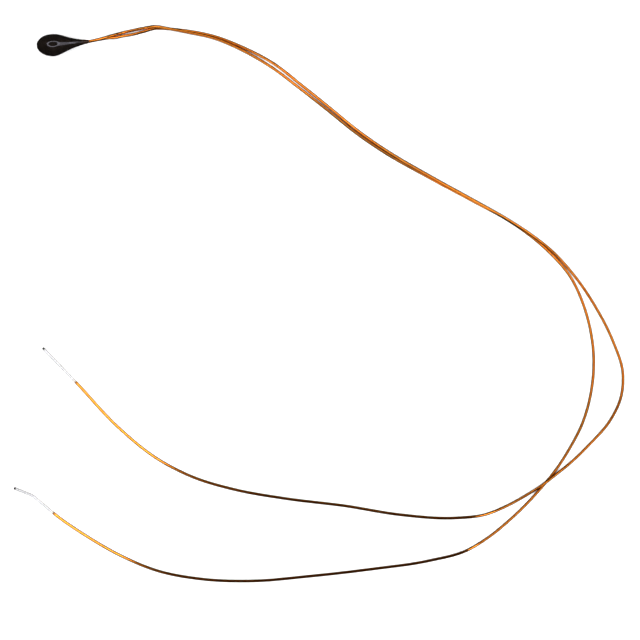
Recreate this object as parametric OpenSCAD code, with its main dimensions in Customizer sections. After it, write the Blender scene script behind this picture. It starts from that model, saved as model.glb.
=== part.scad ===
// Bead thermistor: an oxide chip soldered between two enamelled copper leads and dipped in epoxy.
// It lies on a flat surface at z = 0 with the bead's nose towards -X and its leads in loose loops.

/* [Bead] */
// Largest diameter of the resin bead
bead_d = 2.4; // [2.2:0.1:3]
// Length of the bead, from its nose to the end of its neck
bead_len = 5.6; // [5.2:0.1:6.4]
// Distance from the nose to the widest section
nose_len = 1.75; // [1.5:0.05:2.1]
// How far the full width carries on behind the widest section
belly_reach = 1.05; // [0.8:0.05:1.3]
// How far the slim neck reaches forward into the tail
neck_reach = 2.5; // [2.1:0.1:2.8]
// Extra half width at the front of the neck's reach
neck_flare = 0.36; // [0.26:0.02:0.44]
// Sideways lean of the neck
neck_lean = 0.4; // [0:0.05:0.6]
// Drop of the neck below the middle of the bead
neck_drop = 0.05; // [0:0.05:0.3]
// Resin film over the leads at the end of the neck
resin_film = 0.03; // [0.02:0.01:0.06]

/* [Chip] */
// Side of the square oxide chip
chip_w = 1; // [0.7:0.05:1.2]
// Thickness of the chip between its electrodes
chip_t = 0.5; // [0.3:0.05:0.6]
// Thickness of each fired silver electrode
electrode_t = 0.03; // [0.02:0.01:0.06]
// Bare ceramic rim around each electrode
electrode_rim = 0.03; // [0.01:0.01:0.06]
// Distance from the chip's edge to the end of each solder joint
joint_setback = 0.1; // [0.05:0.01:0.2]
// Solder over the lead at the middle of each joint
solder_t = 0.16; // [0.1:0.01:0.2]
// Solder over the lead at the ends of each joint
solder_end_t = 0.04; // [0.02:0.01:0.06]
// Solder between the lead and the electrode
solder_film = 0.015; // [0.01:0.005:0.03]

/* [Leads] */
// Diameter of the copper conductor
conductor_d = 0.25; // [0.2:0.01:0.3]
// Thickness of the enamel on the conductor
enamel_t = 0.025; // [0.015:0.005:0.04]
// Clearance between the leads where one lies on the other
lead_gap = 0.03; // [0.02:0.01:0.06]
// Length of enamelled lead held in the neck
enamel_in = 0.9; // [0.5:0.1:1.4]

/* [Tinned tips] */
// Length of each stripped and tinned end
strip_len = 5.1; // [4.5:0.1:7]
// Thickness of the tin on the bare copper
tin_t = 0.02; // [0.01:0.005:0.03]
// Direction of the tip of lead A, anticlockwise from +X
tip_a_turn = 134; // [128:1:140]
// Direction of the tip of lead B before its bend
tip_b_turn = 140; // [134:1:146]
// Straight run of the tip of lead B before its bend
tip_b_run = 2.7; // [2:0.1:3.2]
// Angle of the bend in the tip of lead B
tip_b_bend = 18; // [5:1:30]
// Radius of that bend, on the wire's axis
tip_b_bend_r = 1.2; // [0.8:0.1:2]

/* [Hidden] */
$fn = 48;

// Facets of the lofted bead, the swept leads and the solder
bead_sides = 32;
nose_steps = 9;
tail_steps = 16;
lead_sides = 8;
solder_steps = 3;

// Radii and pitches
bead_r = bead_d / 2;
conductor_r = conductor_d / 2;
enamel_r = conductor_r + enamel_t;
tin_r = conductor_r + tin_t;
neck_r = enamel_r + resin_film;
pair_pitch = 2 * enamel_r + lead_gap;
lie_z = max(enamel_r, tin_r);

// Places along the bead
belly_x = nose_len - bead_len / 2;
neck_x = bead_len / 2;
neck_z = bead_r - neck_drop;
sway_softness = 0.1;

// Places around the chip, which sits across the widest section
top = 1;
bottom = -1;
joint_len = chip_w - 2 * joint_setback;
joint_r = conductor_r + solder_t;
electrode_w = chip_w - 2 * electrode_rim;
electrode_z = chip_t / 2 + electrode_t;
seat_z = electrode_z + solder_film + conductor_r;

// Height of the lower lead's underside where the pair leaves the neck
neck_height = neck_z - pair_pitch / 2 - lie_z;

// The pair's route from the neck to the split. Each row is x, y, the height under the pair as a
// share of its height at the neck, the twist of lead A about lead B (0 is A on the left, 90 is A on
// top) and the spread of the pair in pitches.
pair_route = [
    [neck_x, neck_lean, 1, -90, 1],
    [4, 0.65, 0.8, -95, 1],
    [5.1, 0.9, 0.54, -120, 1.02],
    [5.65, 1, 0.4, -150, 1.04],
    [6.2, 1.15, 0.26, -178, 1.05],
    [7.4, 1.4, 0.06, -180, 1.3],
    [8.7, 1.7, 0, -172, 1.08],
    [9.9, 1.95, 0, -130, 1.03],
    [11.5, 1.8, 0, -90, 1],
    [13.5, 1.5, 0, -60, 1],
    [16.3, 0.9, 0, -48, 1],
    [19.2, -0.25, 0, -22, 1.03],
    [22.5, -2.05, 0, 0, 1.4],
    [25.8, -4.55, 0, 0, 1.2],
    [29, -7.1, 0, 5, 1.05],
    [31.65, -9.25, 0, 15, 1],
    [34.6, -11.3, 0, 30, 1],
    [39.8, -14.3, 0, 57, 1],
    [44.4, -16.8, 0, 70, 1],
    [48, -18.8, 0, 80, 1],
    [50.6, -20.55, 0, 64, 1],
    [52.7, -22.3, 0, 32, 1.03]
];

// Each lead's own route from the split to its strip point: x, y and its lift in pitches
loop_a = [
    [55.1, -24.7, 0],
    [57.4, -28.05, 0],
    [59.35, -31.85, 0],
    [60.45, -35.4, 0],
    [60.2, -38.1, 0],
    [59.15, -40.35, 0],
    [56.75, -43.15, 0],
    [54.6, -45.2, 0.15],
    [52.95, -46.5, 0.8],
    [52.05, -47.2, 1.05],
    [50.15, -48.45, 0.4],
    [48, -49.65, 0],
    [45.5, -50.65, 0],
    [42.4, -51, 0],
    [36.4, -50.65, 0],
    [30.5, -49.7, 0],
    [24, -48.9, 0],
    [18.4, -47.9, 0],
    [14.2, -46.65, 0],
    [10.25, -44.65, 0],
    [6, -41.25, 0],
    [1.35, -36.3, 0]
];
loop_b = [
    [54.8, -25, 0],
    [56.05, -27.6, 0],
    [56.9, -30.5, 0],
    [57.3, -33.8, 0],
    [57.05, -37.2, 0],
    [56.05, -40.85, 0],
    [54.75, -43.4, 0],
    [53.1, -45.95, 0],
    [52.1, -47.2, 0],
    [50.6, -48.9, 0],
    [48.3, -51.15, 0],
    [45.7, -53.25, 0],
    [43.6, -54.5, 0],
    [39.6, -55.6, 0],
    [33.5, -56.5, 0],
    [26.5, -57.3, 0],
    [20.5, -57.8, 0],
    [15, -57.6, 0],
    [10.2, -56.7, 0],
    [6.2, -55.05, 0],
    [2.45, -52.9, 0],
    [-1.05, -50.45, 0]
];

// Geometry helpers
function unit(v) = v / norm(v);
function flat(v) = [v.x, v.y];
function polar(turn) = [cos(turn), sin(turn), 0];
function cubic(a, b, c, d, u) =
    a * pow(1 - u, 3) + 3 * b * u * pow(1 - u, 2) + 3 * c * pow(u, 2) * (1 - u) + d * pow(u, 3);

// Triangles of a band between ring j and the next one, with n points in a ring, clockwise outside
function band(j, n) = [
    for (k = [0 : n - 1])
        let (next = (k + 1) % n, here = j * n, there = here + n)
        each [[here + k, there + k, there + next], [here + k, there + next, here + next]]
];
function flipped(faces) = [for (f = faces) [f[2], f[1], f[0]]];
function shifted(faces, by) = [for (f = faces) [for (i = f) i + by]];

// Bead sections, each x, half width and half the straight that makes it taller than wide
nose_sections = [
    for (j = [1 : nose_steps])
        let (a = 90 * j / nose_steps)
        [belly_x - nose_len * cos(a), bead_r * sin(a), 0]
];
tail_sections = [
    for (j = [1 : tail_steps])
        let (u = j / tail_steps,
             p = cubic([belly_x, bead_r], [belly_x + belly_reach, bead_r],
                       [neck_x - neck_reach, neck_r + neck_flare], [neck_x, neck_r], u))
        [p.x, p.y, pow(u, 2) * pair_pitch / 2]
];
bead_sections = concat(nose_sections, tail_sections);

// Share of the neck's lean and drop that the bead's axis has at x
function sway(x) =
    let (t = max(0, x - belly_x) / (neck_x - belly_x), s = sway_softness)
    (norm([t, s]) - s) / (norm([1, s]) - s);
function bead_ring(section) =
    let (y = neck_lean * sway(section.x), z = bead_r - neck_drop * sway(section.x))
    [for (k = [0 : bead_sides - 1])
        let (a = 360 * k / bead_sides)
        [section.x,
         y + section.y * cos(a),
         z + section.y * sin(a) + section.z * sign(sin(a))]];

// Lead paths. Side 1 is lead A, side -1 is lead B.
function pair_heading(i) =
    let (last = len(pair_route) - 1,
         before = pair_route[max(0, i - 1)],
         after = pair_route[min(last, i + 1)])
    unit(flat(after) - flat(before));
function pair_point(i, side) =
    let (row = pair_route[i],
         ahead = pair_heading(i),
         left = [-ahead.y, ahead.x],
         reach = row[4] * pair_pitch / 2,
         across = side * reach * cos(row[3]),
         rise = side * reach * sin(row[3]))
    [row.x + across * left.x,
     row.y + across * left.y,
     lie_z + row[2] * neck_height + abs(rise) + rise];
function pair_path(side) = [for (i = [0 : len(pair_route) - 1]) pair_point(i, side)];
function loop_path(rows) = [for (p = rows) [p.x, p.y, lie_z + p[2] * pair_pitch]];

// A lead inside the bead: along the chip's face, then straight to where its enamel begins
function inner_path(face, neck) =
    let (edge = [belly_x + chip_w / 2, 0, bead_r + face * seat_z],
         held = enamel_in / (neck.x - edge.x))
    [edge - [chip_w - joint_setback / 2, 0, 0], edge, neck + (edge - neck) * held];

// The copper inside the tinned tips, from the strip point to the middle of the round end
tip_a_end = strip_len - tin_r;
tip_b_end = strip_len - tin_r - tip_b_run - tip_b_bend_r * tip_b_bend * PI / 180;
function bend_point(start, turn, by) =
    start + tip_b_bend_r * (polar(turn + 90) - polar(turn + by + 90));
function tip_a_path(strip) = [strip + tip_a_end * polar(tip_a_turn)];
function tip_b_path(strip) =
    let (start = strip + tip_b_run * polar(tip_b_turn),
         middle = bend_point(start, tip_b_turn, tip_b_bend / 2),
         end = bend_point(start, tip_b_turn, tip_b_bend))
    [start, middle, end, end + tip_b_end * polar(tip_b_turn + tip_b_bend)];

strip_a = loop_path(loop_a)[len(loop_a) - 1];
strip_b = loop_path(loop_b)[len(loop_b) - 1];
path_a = concat(inner_path(bottom, pair_point(0, 1)), pair_path(1), loop_path(loop_a),
                tip_a_path(strip_a));
path_b = concat(inner_path(top, pair_point(0, -1)), pair_path(-1), loop_path(loop_b),
                tip_b_path(strip_b));

// Points of each path where its enamel begins and ends, and the first one clear of the bead
enamel_first = 2;
clear_of_bead = 4;
no_strip = -1;
enamel_last_a = enamel_first + len(pair_route) + len(loop_a);
enamel_last_b = enamel_first + len(pair_route) + len(loop_b);

// A ring of a swept lead. At the strip point it stands square to the tip.
function heading(path, i, strip) =
    let (last = len(path) - 1,
         ahead = i < last ? unit(path[i + 1] - path[i]) : [0, 0, 0],
         behind = i > 0 && i != strip ? unit(path[i] - path[i - 1]) : [0, 0, 0])
    unit(ahead + behind);
function lead_ring(path, i, r, strip) =
    let (t = heading(path, i, strip),
         side = unit(cross([0, 0, 1], t)),
         up = cross(t, side))
    [for (k = [0 : lead_sides - 1])
        let (a = 360 * k / lead_sides)
        path[i] + r * (cos(a) * side + sin(a) * up)];
function even(first, last, r) = [for (i = [first : last]) [i, r]];
function lead_rings(path, stations, strip) = [
    for (s = stations) each lead_ring(path, s[0], s[1], strip)
];
function lead_bands(count) = [for (j = [0 : count - 2]) each band(j, lead_sides)];

// A solid swept through stations, each a point of the path and the radius there
module rod(path, stations, strip) {
    count = len(stations);
    start_cap = [for (k = [0 : lead_sides - 1]) k];
    end_cap = [for (k = [lead_sides - 1 : -1 : 0]) (count - 1) * lead_sides + k];
    polyhedron(lead_rings(path, stations, strip),
               concat(lead_bands(count), [start_cap, end_cap]), convexity = 10);
}

// A tube swept from the first to the last of these points of the path
module sleeve(path, first, last, inner_r, outer_r, strip) {
    count = last - first + 1;
    inside = count * lead_sides;
    end = (count - 1) * lead_sides;
    rim = [
        for (k = [0 : lead_sides - 1])
            let (next = (k + 1) % lead_sides)
            each [[k, next, inside + next], [k, inside + next, inside + k]]
    ];
    polyhedron(concat(lead_rings(path, even(first, last, outer_r), strip),
                      lead_rings(path, even(first, last, inner_r), strip)),
               concat(lead_bands(count), shifted(flipped(lead_bands(count)), inside),
                      rim, shifted(flipped(rim), end)), convexity = 10);
}

module bead_loft() {
    nose = [belly_x - nose_len, 0, bead_r];
    rings = len(bead_sections);
    cone = [for (k = [0 : bead_sides - 1]) [0, 1 + k, 1 + (k + 1) % bead_sides]];
    bands = [for (j = [0 : rings - 2]) each band(j, bead_sides)];
    neck_cap = [for (k = [bead_sides - 1 : -1 : 0]) 1 + (rings - 1) * bead_sides + k];
    polyhedron(concat([nose], [for (s = bead_sections) each bead_ring(s)]),
               concat(cone, shifted(bands, 1), [neck_cap]), convexity = 4);
}

module chip_blank() {
    translate([belly_x, 0, bead_r])
        cube([chip_w, chip_w, chip_t], center = true);
}

module electrode_blank(face) {
    translate([belly_x, 0, bead_r + face * (chip_t + electrode_t) / 2])
        cube([electrode_w, electrode_w, electrode_t], center = true);
}

// Solder drawn along the lead, thickest at the middle, before it is cut by the electrode and the wire
module solder_blank(face) {
    spine = [
        for (j = [-solder_steps : solder_steps])
            [belly_x + j / solder_steps * joint_len / 2, 0, bead_r + face * seat_z]
    ];
    stations = [
        for (i = [0 : 2 * solder_steps])
            [i, joint_r - (solder_t - solder_end_t) * pow(i / solder_steps - 1, 2)]
    ];
    rod(spine, stations, no_strip);
}

module solder_joint(face, path, strip) {
    difference() {
        solder_blank(face);
        translate([belly_x, 0, bead_r + face * (electrode_z - joint_r)])
            cube([chip_w, chip_w, 2 * joint_r], center = true);
        rod(path, even(0, enamel_first, conductor_r), strip);
    }
}

// The inner end of a lead, which the resin flows around: bare as far as its enamel
module lead_root(path, strip) {
    bare = even(0, enamel_first, conductor_r);
    enamelled = even(enamel_first, clear_of_bead, enamel_r);
    rod(path, concat(bare, enamelled), strip);
}

module bead_coating() {
    color([0.06, 0.06, 0.065])
        difference() {
            bead_loft();
            chip_blank();
            for (face = [top, bottom]) {
                electrode_blank(face);
                solder_blank(face);
            }
            lead_root(path_a, enamel_last_a);
            lead_root(path_b, enamel_last_b);
        }
}

module ntc_chip() {
    color([0.2, 0.2, 0.22])
        chip_blank();
}

module chip_electrode_top() {
    color([0.86, 0.86, 0.84])
        electrode_blank(top);
}

module chip_electrode_bottom() {
    color([0.86, 0.86, 0.84])
        electrode_blank(bottom);
}

module solder_joint_top() {
    color([0.7, 0.71, 0.73])
        solder_joint(top, path_b, enamel_last_b);
}

module solder_joint_bottom() {
    color([0.7, 0.71, 0.73])
        solder_joint(bottom, path_a, enamel_last_a);
}

module lead_a_conductor() {
    color([0.78, 0.45, 0.3])
        rod(path_a, even(0, len(path_a) - 1, conductor_r), enamel_last_a);
}

module lead_b_conductor() {
    color([0.78, 0.45, 0.3])
        rod(path_b, even(0, len(path_b) - 1, conductor_r), enamel_last_b);
}

module lead_a_enamel() {
    color([0.72, 0.38, 0.1])
        sleeve(path_a, enamel_first, enamel_last_a, conductor_r, enamel_r, enamel_last_a);
}

module lead_b_enamel() {
    color([0.72, 0.38, 0.1])
        sleeve(path_b, enamel_first, enamel_last_b, conductor_r, enamel_r, enamel_last_b);
}

// A straight tinned end along +X, closed by a round cap
module tinned_end(length) {
    rotate([0, 90, 0])
        rotate_extrude() {
            square([tin_r, length]);
            translate([0, length])
                intersection() {
                    circle(tin_r);
                    square(tin_r);
                }
        }
}

module lead_a_tinning() {
    color([0.84, 0.85, 0.87])
        difference() {
            translate(strip_a)
                rotate(tip_a_turn)
                    tinned_end(tip_a_end);
            rod(path_a, even(enamel_last_a, len(path_a) - 1, conductor_r), enamel_last_a);
        }
}

module lead_b_tinning() {
    color([0.84, 0.85, 0.87])
        difference() {
            translate(strip_b)
                rotate(tip_b_turn) {
                    rotate([0, 90, 0])
                        cylinder(h = tip_b_run, r = tin_r);
                    translate([tip_b_run, tip_b_bend_r, 0]) {
                        rotate(-90)
                            rotate_extrude(angle = tip_b_bend)
                                translate([tip_b_bend_r, 0])
                                    circle(tin_r);
                        rotate(tip_b_bend)
                            translate([0, -tip_b_bend_r, 0])
                                tinned_end(tip_b_end);
                    }
                }
            rod(path_b, even(enamel_last_b, len(path_b) - 1, conductor_r), enamel_last_b);
        }
}

bead_coating();
ntc_chip();
chip_electrode_top();
chip_electrode_bottom();
solder_joint_top();
solder_joint_bottom();
lead_a_conductor();
lead_b_conductor();
lead_a_enamel();
lead_b_enamel();
lead_a_tinning();
lead_b_tinning();
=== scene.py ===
"""Looks of a bead thermistor: an epoxy bead on two long enamelled copper leads with tinned tips.

Everything is in metres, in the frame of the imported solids: the bead's nose points to -X, and the
part lies on the plane z = 0.
"""
import logging
import math
from dataclasses import dataclass, field
from enum import Enum
from typing import Any, Optional, Sequence, Union

import bpy
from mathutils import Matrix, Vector
from mathutils.geometry import interpolate_bezier


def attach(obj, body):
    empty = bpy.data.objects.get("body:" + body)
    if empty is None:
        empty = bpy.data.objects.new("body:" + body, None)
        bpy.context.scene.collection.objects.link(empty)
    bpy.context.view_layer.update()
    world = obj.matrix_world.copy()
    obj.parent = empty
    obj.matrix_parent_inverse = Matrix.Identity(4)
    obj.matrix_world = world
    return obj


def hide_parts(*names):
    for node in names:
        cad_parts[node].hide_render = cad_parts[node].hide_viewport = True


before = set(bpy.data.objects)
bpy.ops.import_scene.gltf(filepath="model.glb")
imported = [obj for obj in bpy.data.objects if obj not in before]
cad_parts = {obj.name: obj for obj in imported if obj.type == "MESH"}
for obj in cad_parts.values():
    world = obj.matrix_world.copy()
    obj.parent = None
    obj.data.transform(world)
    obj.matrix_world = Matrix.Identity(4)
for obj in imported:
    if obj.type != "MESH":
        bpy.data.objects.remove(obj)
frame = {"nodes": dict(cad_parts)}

logging.basicConfig(level=logging.INFO, format="%(message)s")
log = logging.getLogger("bead_thermistor")

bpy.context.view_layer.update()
BODY = "root"
MM = 0.001
MERGE_DISTANCE = 1e-7
ROUNDING_LEVELS = 2
MIDDLE_MM = (27.745, -29.624)  # of the picture, on the floor

Colour = tuple[float, float, float]
Stops = tuple[tuple[float, float], ...]
Loop = list[tuple[float, float, float]]


class Signal:
    """A number that varies over a surface: one output of a shader node, for use in expressions."""

    def __init__(self, graph: "Graph", socket: bpy.types.NodeSocket) -> None:
        """Keeps the socket and the graph that its sums are added to."""
        self.graph = graph
        self.socket = socket

    def _sum(self, operation: str, first: "Number", second: "Number") -> "Signal":
        """Adds a Math node.

        Args:
            operation: Blender's name for the operation.
            first: the left-hand value.
            second: the right-hand value.

        Returns:
            The node's result.
        """
        made = self.graph.node("ShaderNodeMath", {"operation": operation}, {0: first, 1: second})
        return Signal(self.graph, made.outputs[0])

    def __add__(self, other: "Number") -> "Signal":
        """Sum."""
        return self._sum("ADD", self, other)

    __radd__ = __add__

    def __sub__(self, other: "Number") -> "Signal":
        """Difference."""
        return self._sum("SUBTRACT", self, other)

    def __rsub__(self, other: "Number") -> "Signal":
        """Difference from a plain number."""
        return self._sum("SUBTRACT", other, self)

    def __mul__(self, other: "Number") -> "Signal":
        """Product."""
        return self._sum("MULTIPLY", self, other)

    __rmul__ = __mul__


Number = Union[Signal, float]


class Graph:
    """The node graph of one material."""

    MIX_FACTOR, MIX_FIRST, MIX_SECOND, MIX_RESULT = 0, 6, 7, 2

    def __init__(self, name: str) -> None:
        """Makes an empty material.

        Args:
            name: the material's name.
        """
        self.material = bpy.data.materials.new(name)
        self.material.use_nodes = True
        self.tree = self.material.node_tree
        self.tree.nodes.clear()

    def node(self, kind: str, settings: Optional[dict[str, Any]] = None,
             inputs: Optional[dict[Union[str, int], Any]] = None) -> bpy.types.Node:
        """Adds any node.

        Args:
            kind: Blender's type name of the node.
            settings: its properties, which are set first; "stops" holds the place and level pairs of
                a ramp.
            inputs: values, sockets or signals by the name or number of the input.

        Returns:
            The new node.
        """
        made = self.tree.nodes.new(kind)
        for key, value in (settings or {}).items():
            if key == "stops":
                self._set_stops(made.color_ramp, value)
            else:
                setattr(made, key, value)
        for key, value in (inputs or {}).items():
            source = value.socket if isinstance(value, Signal) else value
            if isinstance(source, bpy.types.NodeSocket):
                self.tree.links.new(source, made.inputs[key])
            else:
                made.inputs[key].default_value = source
        return made

    @staticmethod
    def _set_stops(ramp: bpy.types.ColorRamp, stops: Sequence[tuple[float, float]]) -> None:
        """Sets a grey ramp's stops.

        Args:
            ramp: the ramp, with its two first stops.
            stops: place and level of each stop, in rising order.
        """
        while len(ramp.elements) < len(stops):
            ramp.elements.new(1.0)
        for element, (place, level) in zip(ramp.elements, stops):
            element.position = place
            element.color = (level, level, level, 1.0)

    def place(self) -> bpy.types.NodeSocket:
        """Object coordinates, in metres."""
        return self.node("ShaderNodeTexCoord").outputs["Object"]

    def noise(self, per_mm: float, detail: float, roughness: float = 0.5) -> Signal:
        """Adds a cloudy pattern.

        Args:
            per_mm: how many features there are in a millimetre.
            detail: octaves of finer pattern.
            roughness: share of the finer octaves.

        Returns:
            The pattern, from 0 to 1.
        """
        made = self.node("ShaderNodeTexNoise", {}, {
            "Vector": self.place(), "Scale": per_mm / MM, "Detail": detail, "Roughness": roughness})
        return Signal(self, made.outputs["Fac"])

    def ramp(self, source: Signal, *stops: tuple[float, float]) -> Signal:
        """Bends a signal.

        Args:
            source: the signal.
            stops: place and level of each stop.

        Returns:
            The bent signal.
        """
        made = self.node("ShaderNodeValToRGB", {"stops": stops}, {"Fac": source})
        return Signal(self, made.outputs["Color"])

    def attribute(self, name: str) -> Signal:
        """A number stored on the mesh."""
        made = self.node("ShaderNodeAttribute", {"attribute_name": name})
        return Signal(self, made.outputs["Fac"])

    def away_from(self, point: Vector) -> Signal:
        """Distance from a point of the part, in millimetres.

        Args:
            point: the point, in metres.

        Returns:
            The distance.
        """
        made = self.node("ShaderNodeVectorMath", {"operation": "DISTANCE"},
                         {0: self.place(), 1: tuple(point)})
        return Signal(self, made.outputs["Value"]) * (1.0 / MM)

    def mix(self, share: Signal, first: Any, second: Any) -> bpy.types.NodeSocket:
        """Mixes two colours.

        Args:
            share: share of the second colour.
            first: a colour or a colour socket.
            second: a colour or a colour socket.

        Returns:
            The mixed colour.
        """
        made = self.node("ShaderNodeMix", {"data_type": "RGBA"}, {
            self.MIX_FACTOR: share, self.MIX_FIRST: opaque(first), self.MIX_SECOND: opaque(second)})
        return made.outputs[self.MIX_RESULT]

    def bump(self, height: Signal, depth_mm: float,
             under: Optional[bpy.types.NodeSocket] = None) -> bpy.types.NodeSocket:
        """Turns a pattern into relief.

        Args:
            height: the pattern.
            depth_mm: how deep the relief is.
            under: a coarser relief that this one lies on.

        Returns:
            The bent normal.
        """
        inputs: dict[Union[str, int], Any] = {"Height": height, "Distance": depth_mm * MM}
        if under is not None:
            inputs["Normal"] = under
        return self.node("ShaderNodeBump", {}, inputs).outputs["Normal"]

    def surface(self, **inputs: Any) -> bpy.types.Material:
        """Closes the graph with a Principled shader.

        Args:
            **inputs: its sockets, with _ for each space in a name.

        Returns:
            The finished material.
        """
        named = {key.replace("_", " "): value for key, value in inputs.items()}
        for key in ("Base Color", "Coat Tint", "Emission Color", "Specular Tint"):
            if key in named:
                named[key] = opaque(named[key])
        shader = self.node("ShaderNodeBsdfPrincipled", {}, named)
        self.node("ShaderNodeOutputMaterial", {}, {"Surface": shader.outputs["BSDF"]})
        return self.material


def opaque(colour: Any) -> Any:
    """A plain colour with full alpha; a socket stays as it is."""
    return (*colour, 1.0) if isinstance(colour, tuple) and len(colour) == 3 else colour


@dataclass(frozen=True)
class EpoxyFinish:
    """Glossy black casting resin, a little brown where it thins out over the leads."""

    body: Colour = (0.0056, 0.0042, 0.0032)
    cloud: Colour = (0.0105, 0.0080, 0.0062)
    thin: Colour = (0.045, 0.018, 0.007)
    roughness: float = 0.07
    wiped_rougher: float = 0.10
    pigment_rougher: float = 0.10
    thin_rougher: float = 0.08
    thin_from_mm: float = 1.1
    thin_share: float = 0.5
    peel_mm: float = 0.0009
    pigment_mm: float = 0.0004
    ior: float = 1.5
    specular: float = 0.4

    def material(self, neck: Vector) -> bpy.types.Material:
        """Makes the resin.

        Args:
            neck: the end of the neck, where the resin is thinnest.

        Returns:
            The material.
        """
        graph = Graph("epoxy_black")
        clouds = graph.ramp(graph.noise(1.6, 4.0), (0.38, 0.0), (0.68, 1.0))
        pigment = graph.ramp(graph.noise(26.0, 2.0), (0.62, 0.0), (0.74, 1.0))
        from_neck = graph.away_from(neck) * (1.0 / self.thin_from_mm)
        thinning = graph.ramp(from_neck, (0.15, 1.0), (1.0, 0.0))
        colour = graph.mix(clouds, self.body, self.cloud)
        colour = graph.mix(thinning * self.thin_share, colour, self.thin)
        wipe = graph.ramp(graph.noise(3.2, 5.0, 0.6), (0.42, 0.0), (0.8, 1.0))
        peel = graph.bump(graph.noise(5.5, 1.5), self.peel_mm)
        relief = graph.bump(pigment, self.pigment_mm, peel)
        return graph.surface(
            Base_Color=colour, Normal=relief, IOR=self.ior, Specular_IOR_Level=self.specular,
            Roughness=(self.roughness + self.wiped_rougher * wipe + self.pigment_rougher * pigment
                       + self.thin_rougher * thinning))


@dataclass(frozen=True)
class EnamelFinish:
    """Clear amber enamel over bright drawn copper, scorched where the tip was stripped.

    Over a given length before the strip it carries a painted gold highlight, and it has stretches of
    painted shade, given as how far they are from the strip point in millimetres and how dark. The
    ruler is longer than any lead.
    """

    painted_gold_mm: float
    painted_shade_at: Stops
    copper: Colour = (0.86, 0.35, 0.050)
    deep: Colour = (0.66, 0.21, 0.025)
    pale: Colour = (0.92, 0.42, 0.075)
    # Painted highlight: the gold colour that stands in for the bright reflection near the strip.
    painted_gold: Colour = (0.88, 0.63, 0.14)
    scorched: Colour = (0.10, 0.035, 0.012)
    edge: Colour = (0.95, 0.50, 0.16)
    # Painted shade: the colour of the darker stretches along the pair.
    painted_shade: Colour = (0.26, 0.125, 0.025)
    ruler_mm: float = 150.0
    fleck_share: float = 0.55
    painted_gold_share: float = 0.15
    scorch_mm: float = 0.42
    ragged_mm: float = 0.2
    drawn_mm: float = 0.0012
    scorch_less_metal: float = 0.4
    painted_gold_less_metal: float = 0.6
    roughness: float = 0.09
    scuff_rougher: float = 0.09
    scorch_rougher: float = 0.25
    coat: float = 0.85
    scuffed_off: float = 0.35
    coat_roughness: float = 0.06
    coat_ior: float = 1.3
    coat_tint: Colour = (1.0, 0.80, 0.48)

    def material(self, name: str) -> bpy.types.Material:
        """Makes the enamelled wire.

        Args:
            name: the material's name.

        Returns:
            The material.
        """
        graph = Graph(name)
        to_strip = graph.attribute(Lead.TO_STRIP)
        batches = graph.ramp(graph.noise(0.16, 2.0), (0.35, 0.0), (0.65, 1.0))
        flecks = graph.ramp(graph.noise(2.4, 3.0), (0.45, 0.0), (0.75, 1.0))
        colour = graph.mix(batches, self.copper, self.pale)
        colour = graph.mix(flecks * self.fleck_share, colour, self.deep)
        along = to_strip * (1.0 / self.ruler_mm)
        # Painted shade: darkens the listed stretches of the enamel along the pair.
        painted_shade_mask = graph.ramp(
            along, *((place / self.ruler_mm, level) for place, level in self.painted_shade_at))
        colour = graph.mix(painted_shade_mask, colour, self.painted_shade)
        # Painted highlight: near the strip the enamel turns gold and less metallic, standing in for
        # its bright reflection.
        into_painted_gold = to_strip * (1.0 / self.painted_gold_mm)
        painted_gold_mask = graph.ramp(into_painted_gold, (0.3, self.painted_gold_share), (1.0, 0.0))
        colour = graph.mix(painted_gold_mask, colour, self.painted_gold)
        ragged = to_strip + self.ragged_mm * graph.noise(6.0, 2.0)
        scorch = graph.ramp(ragged * (1.0 / self.scorch_mm), (0.3, 1.0), (1.0, 0.0))
        colour = graph.mix(scorch, colour, self.scorched)
        scuffs = graph.ramp(graph.noise(9.0, 4.0, 0.65), (0.5, 0.0), (0.85, 1.0))
        drawn = graph.bump(graph.noise(14.0, 2.0), self.drawn_mm)
        return graph.surface(
            Base_Color=colour,
            Metallic=1.0 - self.scorch_less_metal * scorch - self.painted_gold_less_metal * painted_gold_mask,
            Roughness=self.roughness + self.scuff_rougher * scuffs + self.scorch_rougher * scorch,
            Coat_Weight=self.coat - self.scuffed_off * scuffs, Coat_Roughness=self.coat_roughness,
            Coat_IOR=self.coat_ior, Coat_Tint=self.coat_tint, Specular_Tint=self.edge, Normal=drawn)


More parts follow.
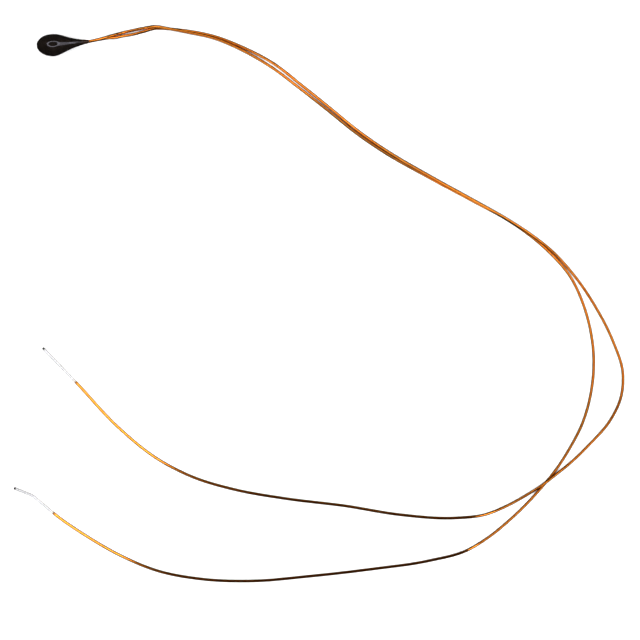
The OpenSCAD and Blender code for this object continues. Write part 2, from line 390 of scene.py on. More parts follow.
@dataclass(frozen=True)
class TinFinish:
    """Hot-dipped tin: bright and uneven, stained by flux at the strip and dark at the sheared end."""

    bright: Colour = (0.90, 0.90, 0.91)
    dull: Colour = (0.62, 0.62, 0.63)
    flux: Colour = (0.50, 0.38, 0.20)
    sheared: Colour = (0.05, 0.045, 0.04)
    stain_share: float = 0.55
    stain_ragged_mm: float = 0.5
    cut_ragged_mm: float = 0.12
    ripple_mm: float = 0.004
    crystal_mm: float = 0.0012
    metallic: float = 0.7
    stain_less_metal: float = 0.3
    roughness: float = 0.2
    crystal_rougher: float = 0.18
    cut_rougher: float = 0.3

    def material(self, name: str, strip: Vector, end: Vector) -> bpy.types.Material:
        """Makes the tinned wire of one lead.

        Args:
            name: the material's name.
            strip: where the tin meets the enamel.
            end: the cut end.

        Returns:
            The material.
        """
        graph = Graph(name)
        crystals = graph.ramp(graph.noise(7.0, 4.0, 0.6), (0.4, 0.0), (0.72, 1.0))
        from_strip = graph.away_from(strip) + self.stain_ragged_mm * graph.noise(4.0, 2.0)
        stain = graph.ramp(from_strip, (0.28, 1.0), (0.75, 0.0))
        from_end = graph.away_from(end) + self.cut_ragged_mm * graph.noise(9.0, 2.0)
        cut = graph.ramp(from_end, (0.27, 1.0), (0.43, 0.0))
        colour = graph.mix(crystals, self.bright, self.dull)
        colour = graph.mix(stain * self.stain_share, colour, self.flux)
        colour = graph.mix(cut, colour, self.sheared)
        ripples = graph.bump(graph.noise(4.0, 2.0), self.ripple_mm)
        relief = graph.bump(crystals, self.crystal_mm, ripples)
        return graph.surface(
            Base_Color=colour, Metallic=self.metallic - self.stain_less_metal * stain, Normal=relief,
            Roughness=self.roughness + self.crystal_rougher * crystals + self.cut_rougher * cut)


@dataclass(frozen=True)
class MetalFinish:
    """A plain metal with a mottled face, for the parts that are covered up."""

    name: str
    light: Colour
    dark: Colour
    roughness: float
    grain_per_mm: float
    relief_mm: float
    grain_rougher: float = 0.15

    def material(self) -> bpy.types.Material:
        """Makes the metal.

        Returns:
            The material.
        """
        graph = Graph(self.name)
        grain = graph.ramp(graph.noise(self.grain_per_mm, 4.0, 0.6), (0.36, 0.0), (0.7, 1.0))
        return graph.surface(
            Base_Color=graph.mix(grain, self.light, self.dark), Metallic=1.0,
            Roughness=self.roughness + self.grain_rougher * grain,
            Normal=graph.bump(grain, self.relief_mm))


@dataclass(frozen=True)
class OxideFinish:
    """Sintered metal-oxide ceramic: dark grey, matt and finely grained."""

    body: Colour = (0.035, 0.035, 0.039)
    grain: Colour = (0.11, 0.105, 0.11)
    roughness: float = 0.62
    grain_rougher: float = 0.2
    grain_mm: float = 0.003
    saw_mm: float = 0.004

    def material(self) -> bpy.types.Material:
        """Makes the ceramic.

        Returns:
            The material.
        """
        graph = Graph("oxide_ceramic")
        grains = graph.ramp(graph.noise(38.0, 3.0, 0.65), (0.45, 0.0), (0.66, 1.0))
        saw_marks = graph.bump(graph.noise(6.0, 1.0), self.saw_mm)
        return graph.surface(
            Base_Color=graph.mix(grains, self.body, self.grain),
            Roughness=self.roughness + self.grain_rougher * grains,
            Normal=graph.bump(grains, self.grain_mm, saw_marks))


class Bench:
    """Modelling by hand: one mesh at a time in edit mode."""

    @staticmethod
    def clear() -> None:
        """Deselects everything."""
        bpy.ops.object.select_all(action="DESELECT")

    @staticmethod
    def start_disc(name: str, centre: Vector, facing: Vector, radius: float,
                   sides: int) -> bpy.types.Object:
        """Adds a disc and opens it in edit mode with its face selected.

        Args:
            name: the piece's name.
            centre: middle of the disc.
            facing: direction that it will be drawn out in.
            radius: its radius.
            sides: its corners.

        Returns:
            The new object.
        """
        Bench.clear()
        bpy.ops.mesh.primitive_circle_add(
            vertices=sides, radius=radius, fill_type="NGON", location=centre,
            rotation=facing.to_track_quat("Z", "Y").to_euler())
        piece = bpy.context.object
        piece.name = name
        piece.data.name = name
        bpy.ops.object.transform_apply(location=True, rotation=True, scale=True)
        bpy.ops.object.mode_set(mode="EDIT")
        bpy.ops.mesh.select_mode(type="FACE")
        bpy.ops.mesh.select_all(action="SELECT")
        return piece

    @staticmethod
    def draw_out(step: Vector, centre: Vector, stretch: Sequence[float]) -> None:
        """Extrudes the selected face.

        Args:
            step: how far the face moves.
            centre: middle of the face once moved.
            stretch: its scale along x, y and z.
        """
        bpy.ops.mesh.extrude_region_move(TRANSFORM_OT_translate={"value": step})
        bpy.ops.transform.resize(value=stretch, center_override=centre)

    @staticmethod
    def close(piece: bpy.types.Object) -> None:
        """Leaves edit mode with merged points and outward faces, and rounds the mesh.

        Args:
            piece: the object in edit mode.
        """
        bpy.ops.mesh.select_all(action="SELECT")
        bpy.ops.mesh.remove_doubles(threshold=MERGE_DISTANCE)
        bpy.ops.mesh.normals_make_consistent(inside=False)
        bpy.ops.object.mode_set(mode="OBJECT")
        rounding = piece.modifiers.new("rounding", "SUBSURF")
        rounding.levels = rounding.render_levels = ROUNDING_LEVELS
        Bench.apply(piece, rounding)
        bpy.ops.object.shade_smooth()

    @staticmethod
    def apply(piece: bpy.types.Object, modifier: bpy.types.Modifier) -> None:
        """Applies a modifier of the active piece."""
        bpy.context.view_layer.objects.active = piece
        bpy.ops.object.modifier_apply(modifier=modifier.name)

    @staticmethod
    def dress(piece: bpy.types.Object, material: bpy.types.Material) -> None:
        """Gives a piece one material all over."""
        piece.data.materials.clear()
        piece.data.materials.append(material)


class Side(Enum):
    """The two leads of the pair, by their side of its middle line."""

    A = 1
    B = -1


@dataclass
class WirePath:
    """A smooth line through chosen points, with a Bezier handle on each side of each point."""

    points: list[Vector]
    last_heading: Optional[Vector] = None
    steps: int = 10
    roundness: int = 6

    def headings(self) -> list[Vector]:
        """Directions of the line at its points.

        Returns:
            One unit-speed tangent for each point, level where the line has a crest or a trough.
        """
        found = []
        last = len(self.points) - 1
        for i, here in enumerate(self.points):
            before = self.points[max(0, i - 1)]
            after = self.points[min(last, i + 1)]
            back, ahead = (here - before).length, (after - here).length
            if i == 0:
                tangent = (after - here) / ahead
            elif i == last:
                tangent = self.last_heading or (here - before) / back
            else:
                weighed = (here - before) * (ahead / back) + (after - here) * (back / ahead)
                tangent = weighed / (back + ahead)
                if (here.z - before.z) * (after.z - here.z) <= 0:
                    tangent.z = 0.0
            found.append(tangent)
        return found

    def handles(self) -> list[tuple[Vector, Vector]]:
        """The handles that give the line its curves.

        Returns:
            The handles before and after each point.
        """
        last = len(self.points) - 1
        found = []
        for i, (here, tangent) in enumerate(zip(self.points, self.headings())):
            back = (here - self.points[max(0, i - 1)]).length
            ahead = (self.points[min(last, i + 1)] - here).length
            found.append((here - tangent * (back / 3), here + tangent * (ahead / 3)))
        return found

    def centres(self) -> list[Vector]:
        """The line as Blender draws it.

        Returns:
            Its points, with those between the chosen ones.
        """
        handles = self.handles()
        line: list[Vector] = []
        for i in range(len(self.points) - 1):
            line += interpolate_bezier(self.points[i], handles[i][1], handles[i + 1][0],
                                       self.points[i + 1], self.steps + 1)[:-1]
        return line + [self.points[-1]]

    def tube(self, name: str, radius: float, capped: bool) -> bpy.types.Object:
        """Sweeps a round tube along the line.

        Args:
            name: the piece's name.
            radius: its outer radius.
            capped: whether its ends are closed.

        Returns:
            The tube as a mesh.
        """
        Bench.clear()
        curve = bpy.data.curves.new(name, "CURVE")
        curve.dimensions = "3D"
        curve.resolution_u = self.steps
        curve.bevel_depth = radius
        curve.bevel_resolution = self.roundness
        curve.use_fill_caps = capped
        spline = curve.splines.new("BEZIER")
        spline.bezier_points.add(len(self.points) - 1)
        for knot, here, (before, after) in zip(spline.bezier_points, self.points, self.handles()):
            knot.handle_left_type = knot.handle_right_type = "FREE"
            knot.co, knot.handle_left, knot.handle_right = here, before, after
        piece = bpy.data.objects.new(name, curve)
        bpy.context.scene.collection.objects.link(piece)
        piece.select_set(True)
        bpy.context.view_layer.objects.active = piece
        bpy.ops.object.convert(target="MESH")
        piece = bpy.context.object
        piece.name = name
        piece.data.name = name
        bpy.ops.object.shade_smooth()
        return piece


@dataclass
class PairRoute:
    """The twisted pair from the bead's neck to the place where the leads part, in millimetres.

    A row is x, y, the height under the pair as a share of its height at the neck, the twist of lead
    A about lead B in degrees (0 is A on the left, 90 is A on top) and the spread of the pair in
    pitches.
    """

    pitch: float = 0.33
    lie_z: float = 0.15
    neck_height: float = 0.835
    rows: list[tuple[float, float, float, float, float]] = field(default_factory=lambda: [
        (2.8, 0.4, 1, -90, 1), (4, 0.65, 0.8, -95, 1), (5.1, 0.9, 0.54, -120, 1.02),
        (5.65, 1, 0.4, -150, 1.04), (6.2, 1.15, 0.26, -178, 1.05), (7.4, 1.4, 0.06, -180, 1.3),
        (8.7, 1.7, 0, -172, 1.08), (9.9, 1.95, 0, -130, 1.03), (11.5, 1.8, 0, -90, 1),
        (13.5, 1.5, 0, -60, 1), (16.3, 0.9, 0, -48, 1), (19.2, -0.25, 0, -22, 1.03),
        (22.5, -2.05, 0, 0, 1.4), (25.8, -4.55, 0, 0, 1.2), (29, -7.1, 0, 5, 1.05),
        (31.65, -9.25, 0, 15, 1), (34.6, -11.3, 0, 30, 1), (39.8, -14.3, 0, 57, 1),
        (44.4, -16.8, 0, 70, 1), (48, -18.8, 0, 80, 1), (50.6, -20.55, 0, 64, 1),
        (52.7, -22.3, 0, 32, 1.03)])

    def points(self, side: Side) -> list[Vector]:
        """The middle line of one lead in the pair.

        Args:
            side: which lead.

        Returns:
            Its points, in metres.
        """
        found = []
        last = len(self.rows) - 1
        for i, (x, y, share, twist, spread) in enumerate(self.rows):
            before, after = self.rows[max(0, i - 1)], self.rows[min(last, i + 1)]
            ahead = Vector((after[0] - before[0], after[1] - before[1])).normalized()
            reach = side.value * spread * self.pitch / 2
            across = reach * math.cos(math.radians(twist))
            rise = reach * math.sin(math.radians(twist))
            z = self.lie_z + share * self.neck_height + abs(rise) + rise
            found.append(Vector((x - across * ahead.y, y + across * ahead.x, z)) * MM)
        return found


@dataclass
class TinnedTip:
    """The stripped and tinned end of a lead: straight, or with one slight bend, in millimetres.

    The tin runs out thin at the enamel, is uneven along the wire and thickens towards the cut end.
    """

    turn: float
    bend: float = 0.0
    bend_at: float = 2.7
    bend_len: float = 0.38
    length: float = 5.1
    sides: int = 16
    place_steps: int = 60
    profile: tuple[tuple[float, float], ...] = (
        (0.04, 0.131), (0.12, 0.142), (0.3, 0.147), (0.7, 0.143), (1.15, 0.147), (1.7, 0.144),
        (2.2, 0.148), (2.7, 0.145), (2.9, 0.144), (3.08, 0.145), (3.5, 0.148), (4.0, 0.147),
        (4.45, 0.151), (4.75, 0.153), (4.93, 0.148), (5.03, 0.132), (5.08, 0.108), (5.09, 0.09))

    def turn_at(self, along: float) -> float:
        """Direction of the wire at a distance from the strip, in degrees from +X."""
        bent = min(1.0, max(0.0, (along - self.bend_at) / self.bend_len))
        return self.turn + self.bend * bent

    def place(self, strip: Vector, along: float) -> Vector:
        """Middle of the wire at a distance from the strip.

        Args:
            strip: the strip point, in metres.
            along: the distance, in millimetres.

        Returns:
            The point, in metres.
        """
        count = self.place_steps
        step = along / count * MM
        turns = [math.radians(self.turn_at(along * (i + 0.5) / count)) for i in range(count)]
        run = Vector((sum(math.cos(t) for t in turns), sum(math.sin(t) for t in turns), 0))
        return strip + run * step

    def build(self, name: str, strip: Vector) -> bpy.types.Object:
        """Draws the tip out of a disc at the strip point.

        Args:
            name: the piece's name.
            strip: the strip point.

        Returns:
            The finished mesh.
        """
        here, radius = strip, self.profile[0][1]
        facing = Vector((math.cos(math.radians(self.turn)), math.sin(math.radians(self.turn)), 0))
        piece = Bench.start_disc(name, strip, facing, radius * MM, self.sides)
        turned = self.turn
        for along, new_radius in self.profile:
            there = self.place(strip, along)
            Bench.draw_out(there - here, there, (new_radius / radius,) * 3)
            by = self.turn_at(along) - turned
            if by:
                bpy.ops.transform.rotate(
                    value=math.radians(-by), orient_axis="Z", center_override=there)
            here, radius, turned = there, new_radius, turned + by
        Bench.close(piece)
        return piece


@dataclass
class Lead:
    """One lead: a copper conductor, its enamel from the bead to the strip point, and a tinned tip.

    Its sizes are in millimetres. A row of its loop is x, y and how many pitches it is lifted off
    the surface.
    """

    TO_STRIP = "to_strip_mm"
    CREASE = math.radians(40)
    HEADING_STEP = 0.1

    side: Side
    tip: TinnedTip
    # Length of the painted gold highlight before the strip.
    painted_gold_mm: float
    loop: Loop
    inner_z: float
    # Stretches of painted shade on the enamel.
    painted_shade_at: Stops
    pair: PairRoute = field(default_factory=PairRoute)
    conductor_r: float = 0.125
    enamel_t: float = 0.025
    chip_edge_x: float = -0.55
    inner_len: float = 0.95
    enamel_in: float = 0.9
    core_stops: tuple[float, ...] = (0.9, 1.8, 2.7, 2.89, 3.08, 4.0, 4.95)
    core_fit: float = 0.97
    copper: MetalFinish = MetalFinish("copper_drawn", (0.82, 0.40, 0.24), (0.62, 0.25, 0.13),
                                      roughness=0.25, grain_per_mm=8.0, relief_mm=0.002)

    @property
    def name(self) -> str:
        """Start of the names of this lead's pieces."""
        return f"lead_{self.side.name.lower()}"

    @property
    def strip(self) -> Vector:
        """The strip point, where the enamel ends."""
        return self.loop_points()[-1]

    @property
    def neck(self) -> Vector:
        """Where the lead leaves the bead."""
        return self.pair.points(self.side)[0]

    def loop_points(self) -> list[Vector]:
        """The lead's own route from the parting of the pair to the strip point."""
        lie_z, pitch = self.pair.lie_z, self.pair.pitch
        return [Vector((x, y, lie_z + lift * pitch)) * MM for x, y, lift in self.loop]

    def inner_points(self) -> list[Vector]:
        """The lead inside the bead.

        Returns:
            Its points along the chip's face, and then the one where its enamel begins.
        """
        edge = Vector((self.chip_edge_x, 0, self.inner_z)) * MM
        held = self.enamel_in * MM / (self.neck.x - edge.x)
        return [edge - Vector((self.inner_len * MM, 0, 0)), edge, self.neck.lerp(edge, held)]

    def enamel_path(self) -> WirePath:
        """The enamelled stretch.

        Returns:
            Its line, which meets the tip in the tip's own direction.
        """
        heading = self.tip.place(self.strip, self.HEADING_STEP) - self.strip
        points = self.inner_points()[-1:] + self.pair.points(self.side) + self.loop_points()
        return WirePath(points, heading.normalized())

    def build_enamel(self) -> bpy.types.Object:
        """Makes the enamel sleeve, with its wall.

        Returns:
            The sleeve.
        """
        path = self.enamel_path()
        outer_r = (self.conductor_r + self.enamel_t) * MM
        piece = path.tube(f"{self.name}_enamel_sleeve", outer_r, capped=False)
        self._mark_distance(piece, path.centres())
        wall = piece.modifiers.new("wall", "SOLIDIFY")
        wall.thickness = self.enamel_t * MM
        wall.offset = -1.0
        Bench.apply(piece, wall)
        bpy.ops.object.shade_smooth_by_angle(angle=self.CREASE)
        finish = EnamelFinish(self.painted_gold_mm, self.painted_shade_at)
        Bench.dress(piece, finish.material(f"enamel_{self.side.name.lower()}"))
        return piece

    def _mark_distance(self, piece: bpy.types.Object, centres: list[Vector]) -> None:
        """Stores each point's distance from the strip point along the wire.

        Args:
            piece: the swept sleeve, whose rings follow the line in order.
            centres: the line.
        """
        left = [0.0]
        for here, before in zip(reversed(centres[1:]), reversed(centres[:-1])):
            left.append(left[-1] + (here - before).length / MM)
        left.reverse()
        ring = len(piece.data.vertices) // len(centres)
        marks = piece.data.attributes.new(self.TO_STRIP, "FLOAT", "POINT")
        for i, mark in enumerate(marks.data):
            mark.value = left[min(i // ring, len(left) - 1)]

    def build_conductor(self) -> bpy.types.Object:
        """Makes the copper core from the chip to the cut end.

        Returns:
            The core, a little slimmer than the hole in its enamel.
        """
        points = (self.inner_points() + self.pair.points(self.side) + self.loop_points()
                  + [self.tip.place(self.strip, along) for along in self.core_stops])
        radius = self.conductor_r * MM * self.core_fit
        piece = WirePath(points).tube(f"{self.name}_copper_core", radius, capped=True)
        Bench.dress(piece, self.copper.material())
        return piece

    def build(self) -> list[bpy.types.Object]:
        """Returns:
            Its pieces: enamel, core and tip.
        """
        enamel = self.build_enamel()
        core = self.build_conductor()
        tip = self.tip.build(f"{self.name}_tinned_tip", self.strip)
        end = self.tip.place(self.strip, self.tip.length)
        Bench.dress(tip, TinFinish().material(f"tin_{self.side.name.lower()}", self.strip, end))
        for piece, node, slot in ((enamel, "enamel", "enamel"), (core, "conductor", "copper"),
                                  (tip, "tinning", "tin")):
            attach(piece, BODY)
            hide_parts(f"{self.name}_{node}")
        centres = self.enamel_path().centres()
        length = sum((b - a).length for a, b in zip(centres, centres[1:]))
        tuple(self.neck)
        log.info("%s: %.1f mm of enamelled wire", self.name, length / MM)
        return [enamel, core, tip]


@dataclass
class Bead:
    """The dipped resin bead: a blunt nose, a round belly and a tail drawn down onto the leads.

    Its sizes are in millimetres. An end step is how far the resin goes on past the neck, and its
    width as a share of the one before.
    """

    bead_r: float = 1.2
    nose_x: float = -2.8
    belly_x: float = -1.05
    neck_x: float = 2.8
    belly_reach: float = 1.05
    neck_reach: float = 2.5
    neck_r: float = 0.18
    neck_flare: float = 0.36
    neck_lean: float = 0.4
    neck_drop: float = 0.05
    pitch: float = 0.33
    sway_softness: float = 0.1
    sides: int = 40
    nose_from: float = 8.0
    nose_steps: int = 10
    tail_steps: int = 22
    end_steps: Stops = ((0.06, 0.93), (0.03, 0.8), (0.0, 0.6))

    def sway(self, x: float) -> float:
        """How far the axis has swung over to the neck.

        Args:
            x: place along the bead.

        Returns:
            Share of the neck's lean and drop.
        """
        t = max(0.0, x - self.belly_x) / (self.neck_x - self.belly_x)
        soft = self.sway_softness
        return (math.hypot(t, soft) - soft) / (math.hypot(1, soft) - soft)

    def axis(self, x: float) -> Vector:
        """Middle of the section at x, in metres."""
        sway = self.sway(x)
        return Vector((x, self.neck_lean * sway, self.bead_r - self.neck_drop * sway)) * MM

    def sections(self) -> list[tuple[float, float, float]]:
        """The sections from nose to neck.

        Returns:
            The x, half width and half height of each.
        """
        found = []
        for j in range(self.nose_steps + 1):
            a = math.radians(self.nose_from + (90 - self.nose_from) * j / self.nose_steps)
            r = self.bead_r * math.sin(a)
            found.append((self.belly_x - (self.belly_x - self.nose_x) * math.cos(a), r, r))
        for j in range(1, self.tail_steps + 1):
            u = j / self.tail_steps
            weights = ((1 - u) ** 3, 3 * u * (1 - u) ** 2, 3 * u * u * (1 - u), u ** 3)
            xs = (self.belly_x, self.belly_x + self.belly_reach,
                  self.neck_x - self.neck_reach, self.neck_x)
            rs = (self.bead_r, self.bead_r, self.neck_r + self.neck_flare, self.neck_r)
            r = sum(w * v for w, v in zip(weights, rs))
            found.append((sum(w * v for w, v in zip(weights, xs)), r, r + u * u * self.pitch / 2))
        return found

    def build(self) -> bpy.types.Object:
        """Draws the bead out from its nose and rounds off its end around the leads.

        Returns:
            The bead.
        """
        sections = self.sections()
        x, width, height = sections[0]
        here = self.axis(x)
        piece = Bench.start_disc("bead_resin", here, Vector((1, 0, 0)), width * MM, self.sides)
        for x, new_width, new_height in sections[1:]:
            there = self.axis(x)
            Bench.draw_out(there - here, there, (1, new_width / width, new_height / height))
            here, width, height = there, new_width, new_height
        for step, shrink in self.end_steps:
            there = here + Vector((step, 0, 0)) * MM
            Bench.draw_out(there - here, there, (1, shrink, shrink))
            here = there
        Bench.close(piece)
        Bench.dress(piece, EpoxyFinish().material(self.axis(self.neck_x)))
        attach(piece, BODY)
        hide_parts("bead_coating")
        log.info("bead: %d faces", len(piece.data.polygons))
        return piece


@dataclass
class ChipStack:
    """The oxide chip with its fired silver electrodes and solder joints, inside the bead."""

    nodes: dict[str, bpy.types.Object]

    def dress(self) -> None:
        """Gives each solid inside the bead its finish."""
        silver = MetalFinish("silver_fired", (0.88, 0.87, 0.84), (0.66, 0.64, 0.60),
                             roughness=0.38, grain_per_mm=20.0, relief_mm=0.003)
        solder = MetalFinish("solder_joint", (0.66, 0.67, 0.69), (0.46, 0.47, 0.49),
                             roughness=0.26, grain_per_mm=9.0, relief_mm=0.004)
        finishes = {
            "ntc_chip": OxideFinish().material(),
            "chip_electrode_top": silver.material(),
            "solder_joint_top": solder.material(),
        }
        finishes["chip_electrode_bottom"] = finishes["chip_electrode_top"]
        finishes["solder_joint_bottom"] = finishes["solder_joint_top"]
        for name, material in finishes.items():
            Bench.dress(self.nodes[name], material)
            log.info("%s: dressed", name)


@dataclass(frozen=True)
class SoftBox:
    """A rectangular light that faces the part.

    It hangs at a distance in metres, off the vertical through a point of the floor in millimetres,
    with its azimuth in degrees from +X. Its size is radial and across, and a radiance of 1 is
    white. The beam is its spread in degrees, and leads says which of the wires it may light.
    """

    name: str
    azimuth: float
    off_axis: float
    distance: float
    size: tuple[float, float]
    radiance: float
    over: tuple[float, float] = MIDDLE_MM
    beam: float = 180.0
    tint: Colour = (1.0, 1.0, 1.0)
    leads: tuple[Side, ...] = (Side.A, Side.B)


@dataclass
class Studio:
    """Camera, floor and lights, in metres.

    The boxes light whole leads. Those that hang off the middle have one edge along a radius, which
    keeps the runs across the picture dark up to where a lead turns. The kickers hang close over one
    place of the enamel.
    """

    COOL_WHITE = (0.88, 0.86, 1.0)

    centre: Vector = field(default_factory=lambda: Vector((*MIDDLE_MM, 0.0)) * MM)
    camera_height: float = 0.6
    lens: float = 312.5
    sensor: float = 36.0
    clip: tuple[float, float] = (0.01, 50.0)
    floor_size: float = 8.0
    floor_dark: Colour = (0.93, 0.93, 0.93)
    floor_light: Colour = (0.95, 0.95, 0.95)
    floor_roughness: float = 0.9
    room_tone: Colour = (0.03, 0.03, 0.033)
    backdrop_tone: Colour = (0.98, 0.98, 0.98)
    gamma: float = 0.85
    ring_centre: tuple[float, float, float] = (0.010, 0.075, 0.35)
    ring_radius: float = 0.19
    ring_thickness: float = 0.05
    ring_strength: float = 6.8
    ring_segments: int = 96
    ring_sides: int = 12
    overhead: SoftBox = SoftBox("overhead", 0, 0, 1.6, (3.0, 3.0), 4.2)
    streak: SoftBox = SoftBox("streak", 10, 35, 0.45, (0.19, 0.3), 3.5, (0.5, 0.0), tint=COOL_WHITE)
    boxes: tuple[SoftBox, ...] = (
        SoftBox("box_north_east", 41, 34, 0.7, (0.5, 0.28), 1.65),
        SoftBox("box_south_west", 221, 31, 0.7, (0.46, 0.28), 1.4),
        SoftBox("box_east", 7, 34, 0.7, (0.5, 0.28), 1.8),
        SoftBox("box_west", 187, 31, 0.7, (0.46, 0.28), 1.5),
        SoftBox("box_south_east_a", -69, 35, 0.7, (0.5, 0.32), 1.5, (177.0, 28.0), leads=(Side.A,)),
        SoftBox("box_north_west_a", 111, 30, 0.7, (0.44, 0.32), 1.05, (-121.5, -87.0),
                leads=(Side.A,)),
        SoftBox("box_south_east_b", -62, 35, 0.7, (0.5, 0.27), 1.4, (146.9, 33.8), leads=(Side.B,)),
        SoftBox("box_north_west_b", 118, 30, 0.7, (0.44, 0.27), 1.0, (-91.4, -93.0),
                leads=(Side.B,)),
        *(SoftBox(f"box_low_{turn}", turn, 70, 0.7, (0.26, 0.72), radiance) for turn, radiance in (
            (30, 0.5), (150, 0.5), (210, 0.5), (330, 0.5), (90, 0.2), (270, 0.2))))
    kickers: tuple[SoftBox, ...] = (
        SoftBox("kick_neck", 90, 29, 0.068, (0.045, 0.10), 0.16, (11.0, 1.0), 46.0),
        SoftBox("kick_bend_low", 252, 60, 0.018, (0.018, 0.012), 0.15, (16.0, 0.8), 60.0),
        SoftBox("kick_open", 50, 14, 0.02, (0.012, 0.010), 0.12, (26.6, -5.0), 60.0),
        SoftBox("kick_pair", 60, 12, 0.03, (0.02, 0.03), 0.10, (42.5, -16.0), 36.0),
        SoftBox("kick_pair_low", 240, 60, 0.018, (0.018, 0.013), 0.2, (41.2, -15.3), 60.0),
        SoftBox("kick_turn_a", -70, 12, 0.007, (0.003, 0.0022), 0.5, (45.65, -50.6), 60.0,
                leads=(Side.A,)),
        SoftBox("kick_turn_b", -60, 12, 0.005, (0.002, 0.0012), 0.55, (44.3, -54.2), 60.0,
                leads=(Side.B,)),
        SoftBox("kick_tip_a", 46, 8, 0.018, (0.010, 0.016), 0.24, (4.6, -39.6), 30.0),
        SoftBox("kick_tip_b", 58, 8, 0.020, (0.011, 0.011), 0.28, (1.8, -52.7), 30.0))

    def build_camera(self) -> None:
        """Looks straight down on the part."""
        data = bpy.data.cameras.new("camera")
        data.lens = self.lens
        data.sensor_width = self.sensor
        data.clip_start, data.clip_end = self.clip
        camera = bpy.data.objects.new("camera", data)
        camera.location = self.centre + Vector((0, 0, self.camera_height))
        bpy.context.scene.collection.objects.link(camera)
        bpy.context.scene.camera = camera

    def build_floor(self) -> None:
        """Lays a wide pale floor."""
        Bench.clear()
        bpy.ops.mesh.primitive_plane_add(size=self.floor_size, location=self.centre)
        floor = bpy.context.object
        floor.name = "floor"
        graph = Graph("floor_card")
        colour = graph.mix(graph.noise(0.02, 2.0), self.floor_dark, self.floor_light)
        Bench.dress(floor, graph.surface(Base_Color=colour, Roughness=self.floor_roughness,
                                         Specular_IOR_Level=0.0))
        floor.visible_glossy = False

    def light(self, box: SoftBox) -> bpy.types.Object:
        """Hangs a soft box.

        Args:
            box: its place, size and brightness.

        Returns:
            The light.
        """
        data = bpy.data.lights.new(box.name, "AREA")
        data.shape = "RECTANGLE"
        data.size, data.size_y = box.size
        data.spread = math.radians(box.beam)
        data.color = box.tint
        data.energy = box.radiance * math.pi * box.size[0] * box.size[1]
        lamp = bpy.data.objects.new(box.name, data)
        turn, tilt = math.radians(box.azimuth), math.radians(box.off_axis)
        away = Vector((math.cos(turn) * math.sin(tilt), math.sin(turn) * math.sin(tilt),
                       math.cos(tilt)))
        lamp.location = Vector((*box.over, 0.0)) * MM + away * box.distance
        lamp.rotation_euler = (0.0, tilt, turn)
        lamp.visible_camera = False
        bpy.context.scene.collection.objects.link(lamp)
        return lamp

    @staticmethod
    def aim_only_at(lamp: bpy.types.Object, pieces: Sequence[bpy.types.Object]) -> None:
        """Keeps a light off all but these pieces.

        Args:
            lamp: the light.
            pieces: what it still lights.
        """
        lit = bpy.data.collections.new(f"lit_by_{lamp.name}")
        for piece in pieces:
            lit.objects.link(piece)
        lamp.light_linking.receiver_collection = lit

    def build_ring(self, bead: bpy.types.Object) -> None:
        """Hangs the ring lamp, which draws the ring of light on the bead.

        Args:
            bead: the resin bead, which alone it lights.
        """
        Bench.clear()
        bpy.ops.mesh.primitive_torus_add(
            location=self.ring_centre, major_radius=self.ring_radius,
            minor_radius=self.ring_thickness / 2, major_segments=self.ring_segments,
            minor_segments=self.ring_sides)
        ring = bpy.context.object
        ring.name = "ring_lamp"
        graph = Graph("ring_lamp_glow")
        Bench.dress(ring, graph.surface(Base_Color=(0, 0, 0), Emission_Color=self.COOL_WHITE,
                                        Emission_Strength=self.ring_strength))
        ring.visible_camera = False
        self.aim_only_at(ring, [bead])

    def build_lights(self, wires: dict[Side, list[bpy.types.Object]],
                     bead: bpy.types.Object) -> None:
        """Hangs the soft boxes.

        Args:
            wires: the pieces of each lead, its enamel first.
            bead: the resin bead.
        """
        self.light(self.overhead).visible_glossy = False
        self.aim_only_at(self.light(self.streak), [bead])
        for box in self.boxes:
            lit = [piece for side in box.leads for piece in wires[side]]
            self.aim_only_at(self.light(box), lit)
        for box in self.kickers:
            self.aim_only_at(self.light(box), [wires[side][0] for side in box.leads])

    def build_room(self) -> None:
        """Gives the room a dim light and a pale backdrop, and sets the picture's tones."""
        world = bpy.data.worlds.new("room")
        bpy.context.scene.world = world
        world.use_nodes = True
        nodes, links = world.node_tree.nodes, world.node_tree.links
        path = nodes.new("ShaderNodeLightPath")
        tone = nodes.new("ShaderNodeMix")
        tone.data_type = "RGBA"
        tone.inputs[Graph.MIX_FIRST].default_value = opaque(self.room_tone)
        tone.inputs[Graph.MIX_SECOND].default_value = opaque(self.backdrop_tone)
        links.new(path.outputs["Is Camera Ray"], tone.inputs[Graph.MIX_FACTOR])
        links.new(tone.outputs[Graph.MIX_RESULT], nodes["Background"].inputs["Color"])
        settings = bpy.context.scene.view_settings
        settings.view_transform = "Standard"
        settings.gamma = self.gamma


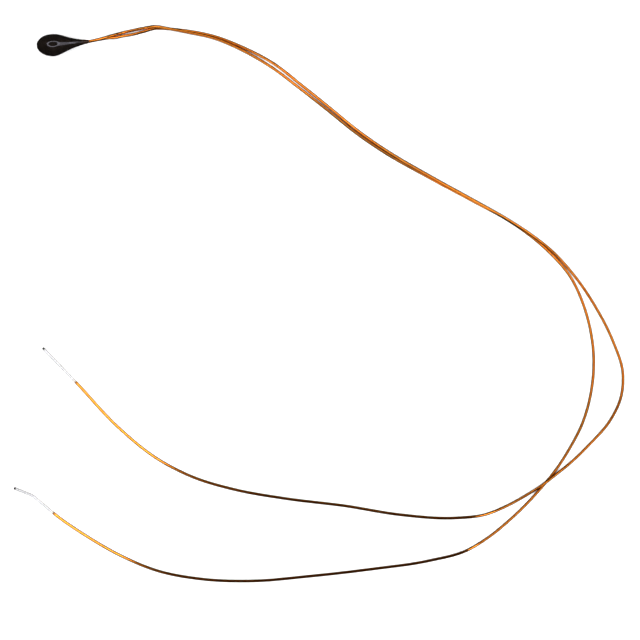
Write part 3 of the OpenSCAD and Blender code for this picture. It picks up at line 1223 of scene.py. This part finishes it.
LOOP_A: Loop = [
    (55.1, -24.7, 0), (57.4, -28.05, 0), (59.35, -31.85, 0), (60.45, -35.4, 0), (60.2, -38.1, 0),
    (59.15, -40.35, 0), (56.75, -43.15, 0), (54.6, -45.2, 0.15), (52.95, -46.5, 0.8),
    (52.05, -47.2, 1.05), (50.15, -48.45, 0.4), (48, -49.65, 0), (45.5, -50.65, 0),
    (42.4, -51, 0), (36.4, -50.65, 0), (30.5, -49.7, 0), (24, -48.9, 0), (18.4, -47.9, 0),
    (14.2, -46.65, 0), (10.25, -44.65, 0), (6, -41.25, 0), (1.35, -36.3, 0)]
LOOP_B: Loop = [
    (54.8, -25, 0), (56.05, -27.6, 0), (56.9, -30.5, 0), (57.3, -33.8, 0), (57.05, -37.2, 0),
    (56.05, -40.85, 0), (54.75, -43.4, 0), (53.1, -45.95, 0), (52.1, -47.2, 0), (50.6, -48.9, 0),
    (48.3, -51.15, 0), (45.7, -53.25, 0), (43.6, -54.5, 0), (39.6, -55.6, 0), (33.5, -56.5, 0),
    (26.5, -57.3, 0), (20.5, -57.8, 0), (15, -57.6, 0), (10.2, -56.7, 0), (6.2, -55.05, 0),
    (2.45, -52.9, 0), (-1.05, -50.45, 0)]
# Stretches of painted shade on each lead's enamel: millimetres from the strip point, and how dark.
PAINTED_SHADE_A: Stops = ((98, 0), (101, 0.15), (104, 0.5), (107, 0.25), (111, 0.1), (115, 0))
PAINTED_SHADE_B: Stops = ((100, 0), (103, 0.9), (107, 0.75), (112, 0.8), (115.5, 0.5), (117.5, 0))


def main() -> None:
    """Builds the scene; the leads log their lengths."""
    studio = Studio()
    studio.build_camera()
    leads = [
        Lead(Side.A, TinnedTip(turn=134), painted_gold_mm=23.0, loop=LOOP_A, inner_z=0.78,
             painted_shade_at=PAINTED_SHADE_A),
        Lead(Side.B, TinnedTip(turn=140, bend=18), painted_gold_mm=14.0, loop=LOOP_B, inner_z=1.62,
             painted_shade_at=PAINTED_SHADE_B),
    ]
    wires = {lead.side: lead.build() for lead in leads}
    bead = Bead().build()
    for piece in (*wires[Side.A], *wires[Side.B], bead):
        log.info("built %s", piece.name)
    ChipStack(frame["nodes"]).dress()
    studio.build_floor()
    studio.build_ring(bead)
    studio.build_lights(wires, bead)
    studio.build_room()


if __name__ == "__main__":
    main()
